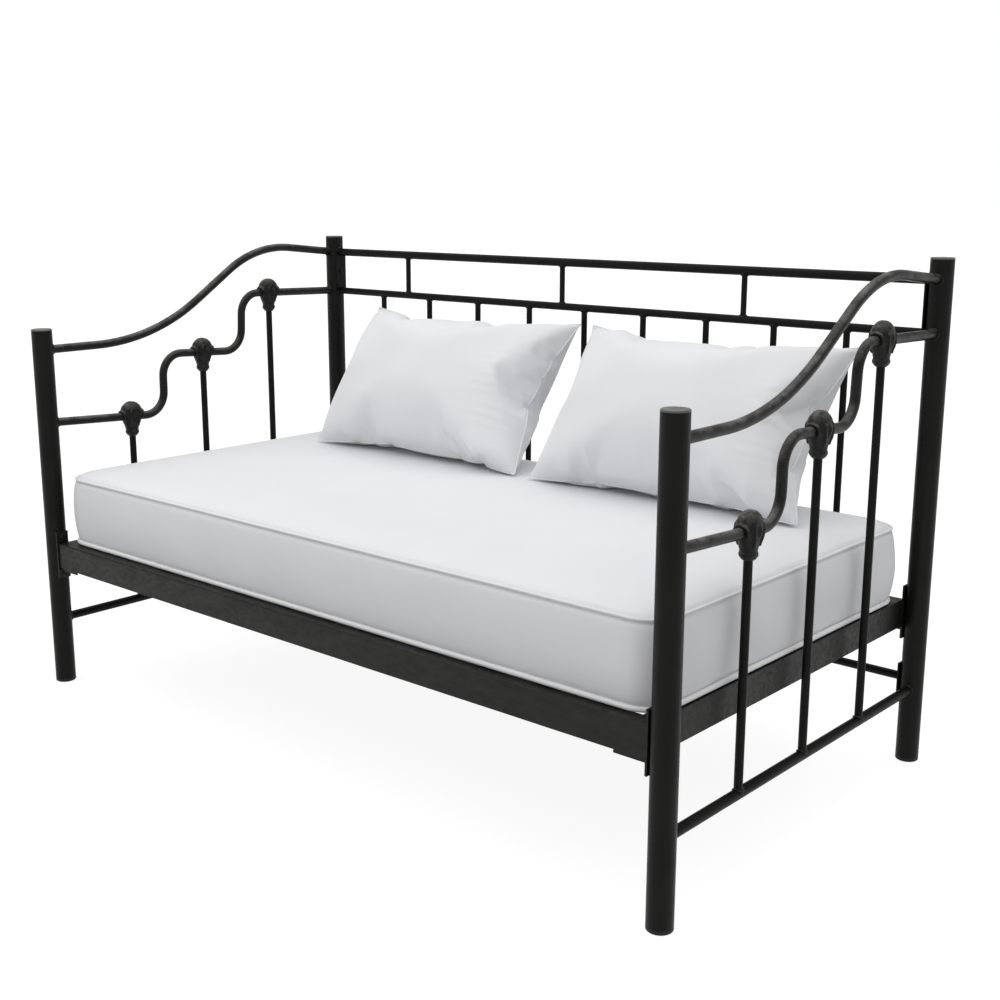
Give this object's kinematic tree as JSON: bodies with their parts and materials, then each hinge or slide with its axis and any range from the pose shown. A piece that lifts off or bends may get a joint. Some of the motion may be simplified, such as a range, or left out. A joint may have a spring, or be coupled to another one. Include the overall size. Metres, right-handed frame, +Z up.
{
  "type": "daybed",
  "caption": "Metal-framed daybed with round posts, swept arms over stepped rails with cast knuckles, a spindle back, a mattress and loose pillows.",
  "frame": {"origin": "on the floor, at the middle of the rectangle that the four posts' axes make", "axes": "+X along the length, +Z up, -Y is the open front and +Y the spindle back"},
  "size_m": [2.034, 1.0858, 1.18],
  "materials": {
    "black_metal": "black powder coat, satin, slightly mottled",
    "black_casting": "black paint over a rough cast surface",
    "black_plastic": "matt",
    "zinc": "dull zinc plate",
    "mattress_fabric": "white woven cover with white piping",
    "pillow_fabric": "white cotton cover"
  },
  "bodies": {
    "frame": {"post_front_left": "black_metal", "post_front_right": "black_metal", "post_rear_left": "black_metal", "post_rear_right": "black_metal", "post_caps": "black_metal", "foot_glides": "black_plastic", "arm_rail_left": "black_metal", "arm_rail_right": "black_metal", "wave_rail_left": "black_metal", "wave_rail_right": "black_metal", "casting_left_1": "black_casting", "casting_left_2": "black_casting", "casting_left_3": "black_casting", "casting_right_1": "black_casting", "casting_right_2": "black_casting", "casting_right_3": "black_casting", "end_spindle_left_1": "black_metal", "end_spindle_left_2": "black_metal", "end_spindle_left_3": "black_metal", "end_spindle_right_1": "black_metal", "end_spindle_right_2": "black_metal", "end_spindle_right_3": "black_metal", "crossbar_left": "black_metal", "crossbar_right": "black_metal", "back_top_rail": "black_metal", "back_middle_rail": "black_metal", "back_bottom_rail": "black_metal", "back_spindle_1": "black_metal", "back_spindle_2": "black_metal", "back_spindle_3": "black_metal", "back_spindle_4": "black_metal", "back_spindle_5": "black_metal", "back_spindle_6": "black_metal", "back_spindle_7": "black_metal", "back_spindle_8": "black_metal", "back_spindle_9": "black_metal", "short_spindle_1": "black_metal", "short_spindle_2": "black_metal", "short_spindle_3": "black_metal", "upper_end_plate_left": "black_metal", "upper_end_plate_right": "black_metal", "lower_end_plate_left": "black_metal", "lower_end_plate_right": "black_metal", "deck_rail_front": "black_metal", "deck_rail_rear": "black_metal", "deck_rail_left": "black_metal", "deck_rail_right": "black_metal", "bracket_front_left": "black_metal", "bracket_front_right": "black_metal", "bracket_rear_left": "black_metal", "bracket_rear_right": "black_metal", "corner_gussets": "black_metal", "deck_slats": "black_metal", "bolts": "black_metal", "threaded_inserts": "zinc"},
    "mattress": {"mattress": "mattress_fabric"},
    "pillow_left": {"pillow_left": "pillow_fabric"},
    "pillow_right": {"pillow_right": "pillow_fabric"}
  },
  "joints": [
    {"name": "mattress_lift", "type": "slide", "parent": "frame", "child": "mattress", "axis": [0, 0, 1], "range_m": [0, 0.8]},
    {"name": "pillow_left_lift", "type": "slide", "parent": "mattress", "child": "pillow_left", "axis": [0, 0, 1], "range_m": [0, 0.6]},
    {"name": "pillow_right_lift", "type": "slide", "parent": "mattress", "child": "pillow_right", "axis": [0, 0, 1], "range_m": [0, 0.6]}
  ]
}
